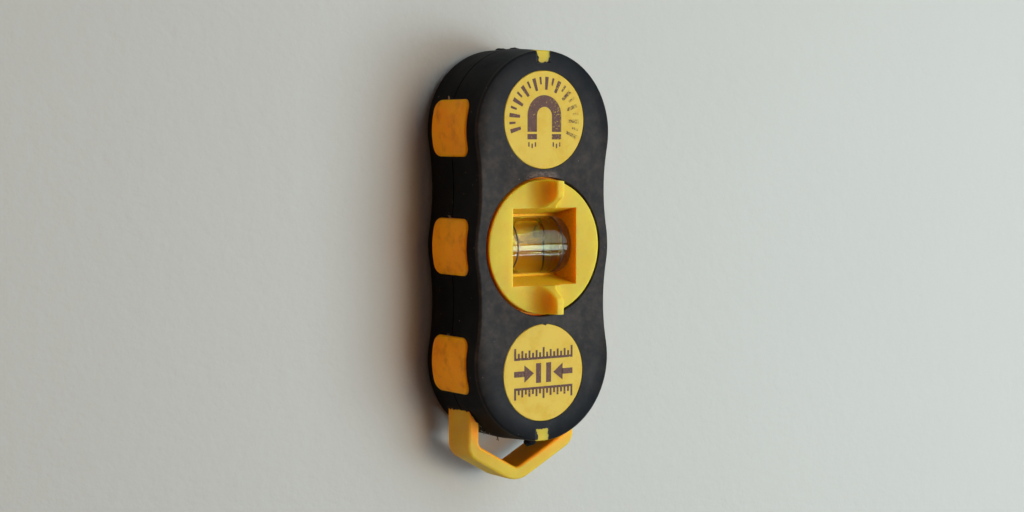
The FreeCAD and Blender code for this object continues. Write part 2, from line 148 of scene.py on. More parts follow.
def rubber(name, dust=1.0):
    """Black thermoplastic rubber: fine matte grain, handling smears, dust and pale nicks on its edges, and
    painted shade towards the two ends of its front.
    """
    look = Look(name)
    front = look.between(look.axis("Y"), FRONT_Y + 0.2 * MM, FRONT_Y + 1.2 * MM, 1.0, 0.0)
    smear = look.noise(11 * MM, 4, 0.6)
    colour = look.mix(look.between(smear, 0.35, 0.7), (0.0015, 0.0035, 0.006, 1), (0.004, 0.006, 0.008, 1))
    # A warm dust film lies on the front face, little on the sides. It thins towards both ends, which darkens
    # their front as painted shade of the rounded rim.
    front_dust_and_end_shade = look.between(look.maths("ABSOLUTE", look.axis("Z")), 20 * MM, 42 * MM, dust, 0.15 * dust)
    front_dust_and_end_shade = look.maths("MULTIPLY", front_dust_and_end_shade, look.between(front, 0.0, 1.0, 0.05, 1.0))
    film = look.between(look.noise(2.2 * MM, 6, 0.7, shift=3.1), 0.35, 0.75, 0.1, 0.5)
    colour = look.mix(look.maths("MULTIPLY", film, front_dust_and_end_shade), colour, (0.066, 0.05, 0.037, 1))
    edge = look.between(look.hollow(0.5 * MM, inside=True), 0.62, 0.42, 0.0, 0.35)
    worn = look.maths("MULTIPLY", edge, look.between(look.noise(1.6 * MM, 5, 0.7, shift=7.7), 0.42, 0.62))
    colour = look.mix(worn, colour, (0.05, 0.048, 0.044, 1))
    speck = look.between(look.noise(0.55 * MM, 1, 0.4, shift=1.7), 0.785, 0.815, 0.0, 0.5 * dust)
    colour = look.mix(speck, colour, (0.34, 0.33, 0.29, 1))
    look.set(Base_Color=colour, Roughness=look.between(smear, 0.3, 0.75, 0.63, 0.53))
    look.set(Specular_IOR_Level=look.between(front, 0.0, 1.0, 0.06, 0.16))
    grain = look.bump(look.noise(0.16 * MM, 2, 0.5), 0.02 * MM, 0.7)
    look.set(Normal=look.bump(look.noise(3.5 * MM, 3, 0.5, shift=5.0), 0.05 * MM, 0.6, grain))
    return look, colour


def jacket_rubber():
    """The jacket's rubber, with a dusty scuff just above the turret."""
    look, colour = rubber("Jacket.rubber")
    x, z = look.axis("X"), look.axis("Z")
    squares = look.maths("ADD", look.maths("MULTIPLY", x, x), look.maths("MULTIPLY", z, z))
    radius = look.maths("SQRT", squares)
    ragged = look.maths("MULTIPLY", look.noise(1.1 * MM, 5, 0.7, shift=2.0), 1.6 * MM)
    outer = look.between(look.maths("ADD", radius, ragged), 18.0 * MM, 19.6 * MM, 1.0, 0.0)
    above = look.between(z, 15.4 * MM, 16.4 * MM)
    left = look.between(x, -6.5 * MM, -3.5 * MM)
    right = look.between(x, 2.2 * MM, 5.0 * MM, 1.0, 0.0)
    across = look.maths("MULTIPLY", left, right)
    scuff = look.maths("MULTIPLY", look.maths("MULTIPLY", outer, above), across)
    fleck = look.between(look.noise(0.5 * MM, 4, 0.7, stretch=(0.4, 1, 1)), 0.4, 0.62, 0.1, 0.85)
    look.set(Base_Color=look.mix(look.maths("MULTIPLY", scuff, fleck), colour, (0.17, 0.13, 0.11, 1)))
    grain = look.shader.inputs["Normal"].links[0].from_socket
    look.set(Normal=look.bump(end_roll(look, x, z), 1.0, 1.0, grain))
    return look


def end_roll(look, x, z):
    """The height of the front face, which rolls off softly towards the rim of its two ends."""
    beyond = look.maths("MAXIMUM", look.maths("SUBTRACT", look.maths("ABSOLUTE", z), FRONT_END_Z), 0.0)
    squares = look.maths("ADD", look.maths("MULTIPLY", x, x), look.maths("MULTIPLY", beyond, beyond))
    over = look.maths("MAXIMUM", look.maths("SUBTRACT", look.maths("SQRT", squares), 15.2 * MM), 0.0)
    fall = look.maths("MULTIPLY", look.maths("MULTIPLY", over, over), -1 / (2 * 7.5 * MM))
    near_end = look.between(look.maths("ABSOLUTE", z), 15 * MM, 27 * MM)
    return look.maths("MULTIPLY", fall, near_end)


def moulded(name, pale, deep, grime_and_crevice_shade, painted_hollow_light, depth, edge_highlight_and_wear=0.0, painted_light_from=None, soiled=0.0):
    """Moulded yellow plastic, a brighter, deeper orange in its hollows: painted light standing in for light
    that bounces and scatters inside them.

    Faces whose Y lies beyond the given front depth take that painted light all over, and dark specks fleck
    them. From 0 to 1, the edge setting is how pale its edges turn, partly rubbed wear and partly a painted
    edge highlight, and soiled is how strong its brown finger marks are.
    """
    look = Look(name, Subsurface_Weight=1.0, Subsurface_Radius=(1.0, 0.55, 0.05),
                Specular_IOR_Level=0.3)
    cloud = look.noise(7 * MM, 4, 0.55)
    colour = look.mix(look.between(cloud, 0.3, 0.7), pale, deep)
    blotch = look.between(look.noise(1.4 * MM, 5, 0.7, shift=4.0), 0.55, 0.78, 0.0, 0.25)
    colour = look.mix(blotch, colour, grime_and_crevice_shade)
    inward = look.between(look.hollow(9 * MM), 0.93, 0.7)
    speckle = 0.0
    # Behind the given front depth, faces count as hollow for the painted light below, and dark specks fleck
    # them.
    if painted_light_from is not None:
        sunk = look.between(look.axis("Y"), painted_light_from - 0.3 * MM, painted_light_from + 0.2 * MM)
        inward = look.maths("MAXIMUM", inward, sunk)
        speckle = look.between(look.noise(0.45 * MM, 5, 0.75, shift=13.0), 0.5, 0.72, 0.0, 0.6)
        speckle = look.maths("MULTIPLY", speckle, sunk)
    # Painted light: hollows, and recessed faces, turn a brighter, deeper orange for light bouncing and
    # scattering inside; the subsurface reach also shortens there.
    colour = look.mix(inward, colour, painted_hollow_light)
    look.set(Subsurface_Scale=look.between(inward, 0.0, 1.0, depth * MM, 0.2 * depth * MM))
    colour = look.mix(speckle, colour, grime_and_crevice_shade)
    # Painted shade: narrow crevices darken towards the dark orange colour that also serves for the stains and
    # specks.
    crevice = look.between(look.hollow(0.5 * MM), 0.55, 0.15, 0.0, 0.6)
    colour = look.mix(crevice, colour, grime_and_crevice_shade)
    # Edges are lightened towards pale orange in patches: partly rubbed wear, partly a painted edge highlight.
    edge = look.between(look.hollow(0.7 * MM, inside=True), 0.66, 0.42, 0.0, edge_highlight_and_wear)
    ragged = look.between(look.noise(1.3 * MM, 5, 0.7, shift=11.0), 0.3, 0.6)
    colour = look.mix(look.maths("MULTIPLY", edge, ragged), colour, (0.85, 0.58, 0.16, 1))
    mark = look.between(look.noise(4.0 * MM, 4, 0.6, shift=15.0), 0.46, 0.78, 0.0, soiled)
    colour = look.mix(mark, colour, (0.22, 0.075, 0.006, 1))
    rough = look.between(look.noise(0.9 * MM, 4, 0.6, shift=9.0), 0.3, 0.75, 0.57, 0.74)
    look.set(Base_Color=colour, Roughness=rough)
    grain = look.bump(look.noise(0.22 * MM, 2, 0.5), 0.012 * MM, 0.6)
    scratch = look.noise(0.3 * MM, 2, 0.5, stretch=(1, 1, 0.06), shift=6.0)
    look.set(Normal=look.bump(look.between(scratch, 0.62, 0.72), 0.012 * MM, 0.5, grain))
    return look


def badge_plastic():
    """The badges' satin face: clear yellow with faint rubbed patches."""
    look = Look("Badge.printed", Subsurface_Weight=0.15, Subsurface_Radius=(1.0, 0.3, 0.035),
                Subsurface_Scale=1.2 * MM, Specular_IOR_Level=0.35)
    rub = look.between(look.noise(3.2 * MM, 5, 0.65), 0.42, 0.7)
    colour = look.mix(rub, (0.545, 0.39, 0.032, 1), (0.51, 0.34, 0.025, 1))
    stain = look.between(look.noise(0.8 * MM, 4, 0.7, shift=8.0), 0.6, 0.8, 0.0, 0.25)
    colour = look.mix(stain, colour, (0.42, 0.2, 0.02, 1))
    look.set(Base_Color=colour, Roughness=look.between(rub, 0.0, 1.0, 0.58, 0.7))
    look.set(Normal=look.bump(look.noise(0.25 * MM, 2, 0.5), 0.01 * MM, 0.5))
    return look


def print_ink(name, wear, worn_side=0.0):
    """Dark print that has rubbed away in flakes, more so towards +X by worn_side."""
    look = Look(name, Specular_IOR_Level=0.3)
    tone = look.noise(1.5 * MM, 3, 0.6)
    look.set(Base_Color=look.mix(tone, (0.05, 0.02, 0.016, 1), (0.12, 0.05, 0.035, 1)), Roughness=0.6)
    flakes = look.noise(0.42 * MM, 5, 0.75)
    shift = look.maths("MULTIPLY", look.between(look.axis("X"), 0.0, BADGE_RADIUS), worn_side)
    limit = look.maths("ADD", shift, wear)
    left = look.between(look.maths("SUBTRACT", flakes, limit), -0.03, 0.05, 0.12, 0.94)
    look.set(Alpha=left)
    return look


def metal(name, colour, roughness, stretch):
    """Plated steel with fine wear lines."""
    look = Look(name, Metallic=1.0)
    streak = look.noise(0.4 * MM, 4, 0.6, stretch=stretch)
    dull = tuple(0.7 * part for part in colour[:3]) + (1,)
    look.set(Base_Color=look.mix(look.between(look.noise(2.5 * MM, 4, 0.6), 0.4, 0.75), colour, dull))
    look.set(Roughness=look.between(streak, 0.3, 0.7, roughness, roughness + 0.22))
    look.set(Normal=look.bump(streak, 0.008 * MM, 0.5))
    return look


def cover_plastic():
    """The back cover: black plastic with a fine spark texture, scuffed pale where it slides on walls."""
    look = Look("Cover.plastic", Specular_IOR_Level=0.45)
    scuff = look.between(look.noise(1.2 * MM, 5, 0.75, stretch=(1, 1, 0.35)), 0.52, 0.75, 0.0, 0.5)
    line = look.between(look.noise(0.5 * MM, 2, 0.5, stretch=(1, 1, 0.03), shift=4.0), 0.66, 0.7, 0.0, 0.6)
    colour = look.mix(scuff, (0.022, 0.023, 0.025, 1), (0.075, 0.074, 0.068, 1))
    colour = look.mix(line, colour, (0.16, 0.16, 0.15, 1))
    look.set(Base_Color=colour, Roughness=look.between(scuff, 0.0, 0.5, 0.42, 0.62))
    look.set(Normal=look.bump(look.noise(0.28 * MM, 3, 0.6), 0.03 * MM, 0.6))
    return look


def clear(name, colour, ior, roughness, shade):
    """Clear acrylic or liquid, with faint smudges in its gloss; lamps shine through it, tinted by shade."""
    look = Look(name, Transmission_Weight=1.0, IOR=ior, Specular_Tint=(0.62, 0.68, 0.55, 1))
    smudge = look.noise(2.5 * MM, 3, 0.6)
    look.set(Base_Color=look.mix(smudge, colour, tuple(0.97 * part for part in colour[:3]) + (1,)))
    look.set(Roughness=look.between(smudge, 0.45, 0.8, roughness, roughness + 0.06))
    path = look.add("ShaderNodeLightPath", {}).outputs
    passing = look.maths("MAXIMUM", path["Is Shadow Ray"], path["Is Diffuse Ray"])
    window = look.add("ShaderNodeBsdfTransparent", {"Color": shade}).outputs[0]
    choice = look.add("ShaderNodeMixShader", {0: passing, 1: look.shader.outputs[0], 2: window})
    look.feed(look.output.inputs["Surface"], choice.outputs[0])
    return look


def line_ink():
    look = Look("Vial.line", Specular_IOR_Level=0.4)
    look.set(Base_Color=look.mix(look.noise(0.4 * MM), (0.008, 0.008, 0.008, 1), (0.02, 0.018, 0.016, 1)))
    look.set(Roughness=look.between(look.noise(0.3 * MM, shift=2.0), 0.3, 0.7, 0.35, 0.5))
    return look


def lint_fibre():
    look = Look("Lint", Specular_IOR_Level=0.2)
    look.set(Base_Color=look.mix(look.noise(0.6 * MM), (0.42, 0.38, 0.3, 1), (0.62, 0.58, 0.5, 1)))
    look.set(Roughness=look.between(look.noise(0.3 * MM), 0.3, 0.7, 0.7, 0.9))
    return look


yellow = {"pale": (0.56, 0.44, 0.037, 1), "deep": (0.53, 0.385, 0.025, 1), "grime_and_crevice_shade": (0.4, 0.14, 0.012, 1)}
# The pads are the core's yellow plastic in a brighter, deeper orange: a shaded copy, painted with the warm
# shade that falls on the tool's sides.
yellow_in_painted_shade = {"pale": (0.92, 0.43, 0.004, 1), "deep": (0.88, 0.37, 0.002, 1), "grime_and_crevice_shade": (0.4, 0.12, 0.01, 1)}
LOOKS = {
    "jacket": jacket_rubber(),
    "flash": rubber("Flash.rubber", dust=0.5)[0],
    "core": moulded("Core.plastic", **yellow, painted_hollow_light=(1.0, 0.38, 0.002, 1), depth=4.0),
    "bezel": moulded("Bezel.plastic", **yellow, painted_hollow_light=(1.0, 0.50, 0.002, 1), depth=7.0, painted_light_from=FRONT_Y),
    "pad": moulded("Pad.plastic", **yellow_in_painted_shade, painted_hollow_light=(0.99, 0.40, 0.003, 1), depth=4.0, edge_highlight_and_wear=0.7,
                   soiled=0.45),
    "badge": badge_plastic(),
    "ink_top": print_ink("Ink.top", 0.36, worn_side=0.2),
    "ink_bottom": print_ink("Ink.bottom", 0.37),
    "cover": cover_plastic(),
    "screw": metal("Screw.zinc", (0.62, 0.62, 0.6, 1), 0.28, (1, 1, 1)),
    "magnet": metal("Magnet.nickel", (0.68, 0.66, 0.62, 1), 0.16, (1, 1, 0.1)),
    "keeper": metal("Keeper.steel", (0.5, 0.5, 0.5, 1), 0.35, (0.1, 1, 1)),
    "ring": rubber("Ring.rubber", dust=0.0)[0],
    "acrylic": clear("Vial.acrylic", (0.98, 0.975, 0.8, 1), 1.49, 0.02, (0.97, 0.97, 0.95, 1)),
    "liquid": clear("Vial.liquid", (0.9, 0.96, 0.42, 1), 1.36, 0.0, (0.99, 0.99, 0.85, 1)),
    "bubble": clear("Vial.bubble", (0.98, 1.0, 0.95, 1), 1.36, 0.0, (1.0, 1.0, 1.0, 1)),
    "line": line_ink(),
    "lint": lint_fibre(),
}

node_looks = {
    "rubber_jacket": "jacket", "core_shell": "core", "back_cover": "cover", "back_screws": "screw",
    "badge_top": "badge", "badge_bottom": "badge", "magnet_top": "magnet", "magnet_bottom": "magnet",
    "magnet_keeper_top": "keeper", "magnet_keeper_bottom": "keeper", "friction_ring": "ring",
    "level_bezel": "bezel", "vial_barrel": "acrylic", "vial_plug": "acrylic", "vial_lines": "line",
}
node_looks.update({pad: "pad" for pad in PADS})


def dress(piece, look):
    """Gives a piece one look all over."""
    piece.data.materials.clear()
    piece.data.materials.append(LOOKS[look].material)


for node_name, look_name in node_looks.items():
    for material_slot in nodes[node_name].material_slots:
        material_slot.material = LOOKS[look_name].material


# ---------------------------------------------------------------- mesh helpers

def mesh_piece(name, points, faces, look, body, smooth=False):
    """A new piece from points and faces, riding on a body."""
    mesh = bpy.data.meshes.new(name)
    mesh.from_pydata(points, [], faces)
    mesh.polygons.foreach_set("use_smooth", [smooth] * len(mesh.polygons))
    mesh.update()
    piece = bpy.data.objects.new(name, mesh)
    bpy.context.collection.objects.link(piece)
    dress(piece, look)
    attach(piece, body)
    return piece


def grid_faces(rows, columns, wrap=False):
    """Faces of a grid of points stored row by row; wrap joins the last column to the first."""
    faces = []
    for row in range(rows - 1):
        for column in range(columns if wrap else columns - 1):
            after = (column + 1) % columns
            faces.append((row * columns + column, row * columns + after,
                          (row + 1) * columns + after, (row + 1) * columns + column))
    return faces


def hair(name, paths, radius, look, body):
    """Thin fibres along short paths of points, as one curve piece."""
    curve = bpy.data.curves.new(name, "CURVE")
    curve.dimensions = "3D"
    curve.bevel_depth = radius
    curve.bevel_resolution = 2
    for path in paths:
        spline = curve.splines.new("NURBS")
        spline.points.add(len(path) - 1)
        for point, place in zip(spline.points, path):
            point.co = (*place, 1)
        spline.order_u = 3
        spline.use_endpoint_u = True
    piece = bpy.data.objects.new(name, curve)
    bpy.context.collection.objects.link(piece)
    dress(piece, look)
    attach(piece, body)
    return piece


# ---------------------------------------------------------------- printed badge marks

PRINT_Y = FRONT_Y - 0.012 * MM


class Print:
    """Flat marks on a badge's face, in millimetres from the badge's centre."""

    def __init__(self, centre_z):
        self.centre_z = centre_z
        self.points, self.faces = [], []

    def strip(self, first, second):
        """The area between two lines of points."""
        start = len(self.points)
        for line in (first, second):
            self.points += [(x * MM, PRINT_Y, self.centre_z + z * MM) for x, z in line]
        count = len(first)
        self.faces += [(start + i, start + i + 1, start + count + i + 1, start + count + i)
                       for i in range(count - 1)]

    def bar(self, x, z, width, height):
        half_x, half_z = width / 2, height / 2
        self.strip([(x - half_x, z - half_z), (x + half_x, z - half_z)],
                   [(x - half_x, z + half_z), (x + half_x, z + half_z)])

    def sector(self, inner, outer, start, end, steps=24):
        """Part of a ring between two angles in degrees, counted from +X towards +Z."""
        angles = [math.radians(start + (end - start) * i / steps) for i in range(steps + 1)]
        self.strip([(inner * math.cos(a), inner * math.sin(a)) for a in angles],
                   [(outer * math.cos(a), outer * math.sin(a)) for a in angles])

    def piece(self, name, look):
        return mesh_piece(name, self.points, self.faces, look, "case")


def scale_arc(marks):
    """A dial of short and long ticks round the top of the badge."""
    tick_count, first_angle, last_angle = 21, 196, -24
    for i in range(tick_count):
        angle = first_angle + (last_angle - first_angle) * i / (tick_count - 1)
        is_long = i % 2 == 0
        inner, half_width = (7.2, 2.9) if is_long else (8.5, 1.7)
        marks.sector(inner, 10.3, angle - half_width, angle + half_width, steps=3)


def magnet_symbol(marks):
    """A horseshoe magnet with its poles down, and three short field lines under each pole."""
    outer, inner, crown_z, foot_z, pole_gap_z = 5.0, 2.2, 0.9, -4.7, -2.9
    steps = 28
    angles = [math.pi * i / steps for i in range(steps + 1)]
    marks.strip([(inner * math.cos(a), crown_z + inner * math.sin(a)) for a in angles],
                [(outer * math.cos(a), crown_z + outer * math.sin(a)) for a in angles])
    middle, width = (outer + inner) / 2, outer - inner
    for side in (-1, 1):
        marks.bar(side * middle, (crown_z + pole_gap_z) / 2, width, crown_z - pole_gap_z)
        marks.bar(side * middle, (foot_z + pole_gap_z - 0.5) / 2, width, pole_gap_z - 0.5 - foot_z)
        for i in (-1, 0, 1):
            marks.bar(side * middle + i * 0.95, foot_z - 1.2 - 0.35 * (i == 0), 0.42, 1.1)


def ruler_row(marks, z, direction):
    """A ruler scale: a base line with ticks standing up (1) or hanging down (-1) from it."""
    half_length, ticks = 8.4, 17
    marks.bar(0, z, 2 * half_length + 0.6, 0.6)
    for i in range(ticks):
        x = -half_length + 2 * half_length * i / (ticks - 1)
        height = 2.4 if i % 8 == 0 else (1.8 if i % 2 == 0 else 1.2)
        marks.bar(x, z + direction * (height / 2 + 0.2), 0.6, height)


def stud_symbol(marks):
    """Two upright bars for the stud's edges, with a bold arrow pointing at them from each side."""
    for side in (-1, 1):
        marks.bar(side * 1.5, 0, 1.5, 4.8)
        marks.bar(side * 7.1, 0, 3.2, 1.4)
        marks.strip([(side * 5.7, -2.1), (side * 5.7, 2.1)], [(side * 2.9, -0.02), (side * 2.9, 0.02)])


def print_badges():
    top, bottom = Print(BADGE_Z), Print(-BADGE_Z)
    scale_arc(top)
    magnet_symbol(top)
    top.piece("badge_top_print", "ink_top")
    ruler_row(bottom, 3.6, 1)
    stud_symbol(bottom)
    ruler_row(bottom, -3.6, -1)
    bottom.piece("badge_bottom_print", "ink_bottom")


print_badges()


# ---------------------------------------------------------------- the vial's liquid and bubble

def lathe(name, profile, centre, look, body, inward=False):
    """A closed shape turned round the X axis through centre, from (x, radius) points."""
    segments = 96
    points = []
    for x, radius in profile:
        for i in range(segments):
            a = 2 * math.pi * i / segments
            points.append((x, centre.y + radius * math.cos(a), centre.z + radius * math.sin(a)))
    faces = grid_faces(len(profile), segments, wrap=True)
    faces.append(tuple(range(segments)))
    faces.append(tuple(reversed(range(len(points) - segments, len(points)))))
    if inward:
        faces = [tuple(reversed(face)) for face in faces]
    return mesh_piece(name, points, faces, look, body, smooth=True)


def fill_vial():
    """The liquid, a hair larger than its bore so that light passes straight from acrylic to liquid."""
    overlap = 0.03 * MM
    centre = (bore_low + bore_high) / 2
    radius = (bore_high.z - bore_low.z) / 2 + overlap
    low, high = bore_low.x - overlap, bore_high.x + overlap
    round_end = 0.35 * MM
    profile = [(low, radius - round_end), (low + 0.1 * MM, radius - 0.1 * MM), (low + round_end, radius),
               (high - round_end, radius), (high - 0.1 * MM, radius - 0.1 * MM), (high, radius - round_end)]
    liquid = lathe("vial_liquid", profile, centre, "liquid", "turret")
    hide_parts("vial_fluid")


def blow_bubble():
    """The bubble: a long drop pressed against the top of the bore, its faces turned to the liquid."""
    low, high = bubble_low.x, bubble_high.x
    centre = (bubble_low + bubble_high) / 2
    radius = (bubble_high.z - bubble_low.z) / 2
    steps = 14
    profile = []
    for i in range(steps + 1):
        a = math.pi / 2 * i / steps
        profile.append((low + radius * (1 - math.sin(a)), max(radius * math.cos(a), 0.01 * MM)))
    profile = profile[::-1]
    profile += [(low + high - x, r) for x, r in reversed(profile)]
    bubble = lathe("vial_bubble_air", profile, centre, "bubble", "bubble", inward=True)
    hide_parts("vial_bubble")


fill_vial()
blow_bubble()


# ---------------------------------------------------------------- moulding flash, hairs and lint

def end_surface_z(x, end, depth=SEAM_DEPTH):
    """The Z of the body's round end above or below a place across it, at a depth."""
    crown = SEAM_CROWN * min(depth / SEAM_DEPTH, 1)
    return end * (FRONT_END_Z + crown + math.sqrt(max(END_RADIUS**2 - x * x, 0)))


def front_skin_y(x, z, end):
    """The Y of the jacket's front near an end, with the rounding of its front edge."""
    inside = END_RADIUS - math.hypot(x, abs(z) - FRONT_END_Z)
    if inside >= FRONT_ROUNDING:
        return FRONT_Y
    over = FRONT_ROUNDING - max(inside, 0)
    return FRONT_Y + FRONT_ROUNDING - math.sqrt(max(FRONT_ROUNDING**2 - over * over, 0))


def frayed_mark(name, end):
    """The jacket's uneven lip where it meets the yellow index mark on the front."""
    half, centre_x, inner_z = 1.9 * MM, -0.4 * MM, 44.05 * MM
    outer_z = 46.7 * MM
    path = []
    steps = 40
    for i in range(steps + 1):
        path.append((centre_x - half, outer_z + (inner_z - outer_z) * i / steps, -1, 0))
    for i in range(1, steps + 1):
        path.append((centre_x - half + 2 * half * i / steps, inner_z, 0, -1))
    for i in range(1, steps + 1):
        path.append((centre_x + half, inner_z + (outer_z - inner_z) * i / steps, 1, 0))
    points = []
    for offset_outward in (True, False):
        for x, z, out_x, out_z in path:
            if offset_outward:
                shift = 0.25 * MM
            else:
                wobble = noise.noise(Vector((x * 620, z * 620, 3.0 * end)))
                fine = noise.noise(Vector((x * 3200, z * 3200, 9.0 * end)))
                shift = -max(0.28 + 0.6 * wobble + 0.28 * fine, 0.0) * MM
            px, pz = x + out_x * shift, z + out_z * shift
            points.append((px, front_skin_y(px, pz, end) - 0.025 * MM, end * pz))
    faces = grid_faces(2, len(path))
    mesh_piece(name, points, faces, "flash", "case", smooth=True)


def leg_collar(name, side, outer_x):
    """Thin ragged rubber flash round a leg of the loop, where it comes out of the jacket."""
    core_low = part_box("core_shell")[0]
    inner_x = outer_x - 3.0 * MM
    front_y, back_y = FRONT_Y + 8.5 * MM, FRONT_Y + 18.0 * MM
    gap = 0.04 * MM
    corners = [(outer_x + gap, front_y - gap), (outer_x + gap, back_y + gap),
               (inner_x - gap, back_y + gap), (inner_x - gap, front_y - gap)]
    ring, per_side = [], 36
    for i, (x, y) in enumerate(corners):
        next_x, next_y = corners[(i + 1) % 4]
        for step in range(per_side):
            t = step / per_side
            ring.append((x + (next_x - x) * t, y + (next_y - y) * t))
    rows = 5
    points = []
    for row in range(rows):
        down = row / (rows - 1)
        for x, y in ring:
            rough = noise.noise(Vector((x * 1100, y * 1100, side * 4.0)))
            fine = noise.noise(Vector((x * 4000, y * 4000, side * 7.0)))
            length = max(0.16 + 0.5 * rough + 0.22 * fine, 0.02) * MM
            lift = 0.05 * MM * (1 - down) * (1 + rough)
            out_x = lift if x > (outer_x + inner_x) / 2 else -lift
            z = end_surface_z(x, -1) + 0.4 * MM - (0.4 * MM + length) * down
            points.append((side * (x + out_x), y, max(z, core_low.z)))
    faces = grid_faces(rows, len(ring), wrap=True)
    mesh_piece(name, points, faces, "flash", "case", smooth=True)


def blob(name, centre, size, seed):
    """A small uneven lump, such as a trimmed gate."""
    rings, segments = 12, 20
    points = []
    for row in range(rings + 1):
        polar = math.pi * row / rings
        for column in range(segments):
            a = 2 * math.pi * column / segments
            out = Vector((math.sin(polar) * math.cos(a), math.sin(polar) * math.sin(a), math.cos(polar)))
            rough = 1 + 0.28 * noise.noise(out * 1.7 + Vector((seed, 0, 0)))
            points.append(tuple(Vector(centre) + Vector(out[i] * size[i] * rough for i in range(3))))
    faces = grid_faces(rings + 1, segments, wrap=True)
    mesh_piece(name, points, faces, "flash", "case", smooth=True)


def gate_flash():
    """Bumps on both lips of the trimmed notch on top, and the sprue's stub under the lower end."""
    for label, depth, x, seed in (("front", 13.0, 0.4, 1.0), ("back", 17.4, -0.6, 5.0)):
        z = end_surface_z(x * MM, 1) - 0.12 * MM
        blob(f"gate_lip_{label}", (x * MM, FRONT_Y + depth * MM, z), (1.6 * MM, 0.42 * MM, 0.42 * MM), seed)
    blob("sprue_stub", (-0.6 * MM, FRONT_Y + 4.7 * MM, end_surface_z(0, -1, 4.7 * MM) - 0.25 * MM),
         (1.7 * MM, 1.1 * MM, 1.25 * MM), 9.0)
    blob("badge_nick", (0.4 * MM, FRONT_Y + 0.1 * MM, -BADGE_Z + BADGE_RADIUS + 0.05 * MM),
         (0.55 * MM, 0.18 * MM, 0.5 * MM), 2.0)


def lower_edge_place(x, depth):
    """A place on the jacket's lower edge, just inside its surface, at a depth behind the front."""
    return Vector((x, FRONT_Y + depth, end_surface_z(x, -1) + 0.1 * MM))


def whiskers():
    """Rubber whiskers hanging from the jacket's edge beside the loop."""
    rng = random.Random(7)
    paths = []
    for x in (-12.3, -11.9, -11.2, -10.4, -6.4, -6.0, -4.9, 6.2, 9.8, 11.6):
        start = lower_edge_place(x * MM, rng.uniform(10.0, 13.0) * MM)
        reach = rng.uniform(0.35, 1.1) * MM
        bend = Vector((rng.uniform(-0.6, 0.6), rng.uniform(-0.5, 0.3), -1)) * reach
        curl = Vector((rng.uniform(-1, 1), rng.uniform(-0.5, 0.5), rng.uniform(-0.6, 0.3))) * reach * 0.6
        paths.append([start, start + bend * 0.5, start + bend, start + bend + curl])
    hair("rubber_whiskers", paths, 0.06 * MM, "flash", "case")


def loop_lint():
    """Pale curled fibres caught where the loop's left leg leaves the jacket."""
    rng = random.Random(21)
    paths = []
    for x in (-12.4, -11.8, -11.0, -9.9, -8.8):
        start = lower_edge_place(x * MM, rng.uniform(9.0, 11.0) * MM)
        way = Vector((rng.uniform(-0.3, 1.0), rng.uniform(-0.4, 0.2), -1)).normalized()
        way *= rng.uniform(0.6, 1.1) * MM
        aside = Vector((way.z, 0, -way.x)) * rng.choice((-0.9, 0.9))
        paths.append([start, start + way * 0.6, start + way + aside * 0.5, start + way * 0.7 + aside])
    hair("loop_lint", paths, 0.03 * MM, "lint", "case")


def pad_lint(pad):
    """A few pale fibres caught on the middle of a pad's top edge."""
    low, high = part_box(pad)
    side = 1 if high.x > 0 else -1
    rng = random.Random(pad)
    outer_x = max(abs(low.x), abs(high.x))
    middle_y = (low.y + high.y) / 2
    paths = []
    for _ in range(6):
        start = Vector((side * (outer_x - rng.uniform(0.25, 0.6) * MM), middle_y + rng.gauss(0, 0.35) * MM,
                        high.z - 0.05 * MM))
        rise = rng.uniform(0.3, 0.9) * MM
        lean = Vector((side * rng.uniform(0.0, 0.4), rng.uniform(-0.6, 0.6), 1)) * rise
        curl = Vector((side * rng.uniform(-0.1, 0.3), rng.uniform(-0.8, 0.8), 0.1)) * rise
        paths.append([start, start + lean * 0.5, start + lean, start + lean + curl * 0.5])
    hair(f"lint_{pad}", paths, 0.022 * MM, "lint", "case")


for end_name, end_sign in (("top", 1), ("bottom", -1)):
    frayed_mark(f"index_mark_lip_{end_name}", end_sign)
leg_collar("loop_flash_left", -1, 15.9 * MM)
leg_collar("loop_flash_right", 1, 15.5 * MM)
gate_flash()
whiskers()
loop_lint()
for pad_name in PADS:
    pad_lint(pad_name)


# ---------------------------------------------------------------- wall, light and camera

def painted_wall():
    """Matte wall paint with a roller's fine stipple. It is clear from behind, so the back can be seen."""
    look = Look("Wall.paint", Specular_IOR_Level=0.2)
    tone = look.noise(60 * MM, 3, 0.5)
    look.set(Base_Color=look.mix(tone, (0.434, 0.455, 0.431, 1), (0.451, 0.472, 0.448, 1)), Roughness=0.75)
    lumps = look.bump(look.noise(4.5 * MM, 3, 0.6), 0.35 * MM, 0.65)
    look.set(Normal=look.bump(look.noise(1.3 * MM, 3, 0.6, shift=2.0), 0.1 * MM, 0.7, lumps))
    behind = look.add("ShaderNodeNewGeometry", {}).outputs["Backfacing"]
    see_through = look.add("ShaderNodeBsdfTransparent", {}).outputs[0]
    choice = look.add("ShaderNodeMixShader", {0: behind, 1: look.shader.outputs[0], 2: see_through})
    look.feed(look.output.inputs["Surface"], choice.outputs[0])
    return look.material


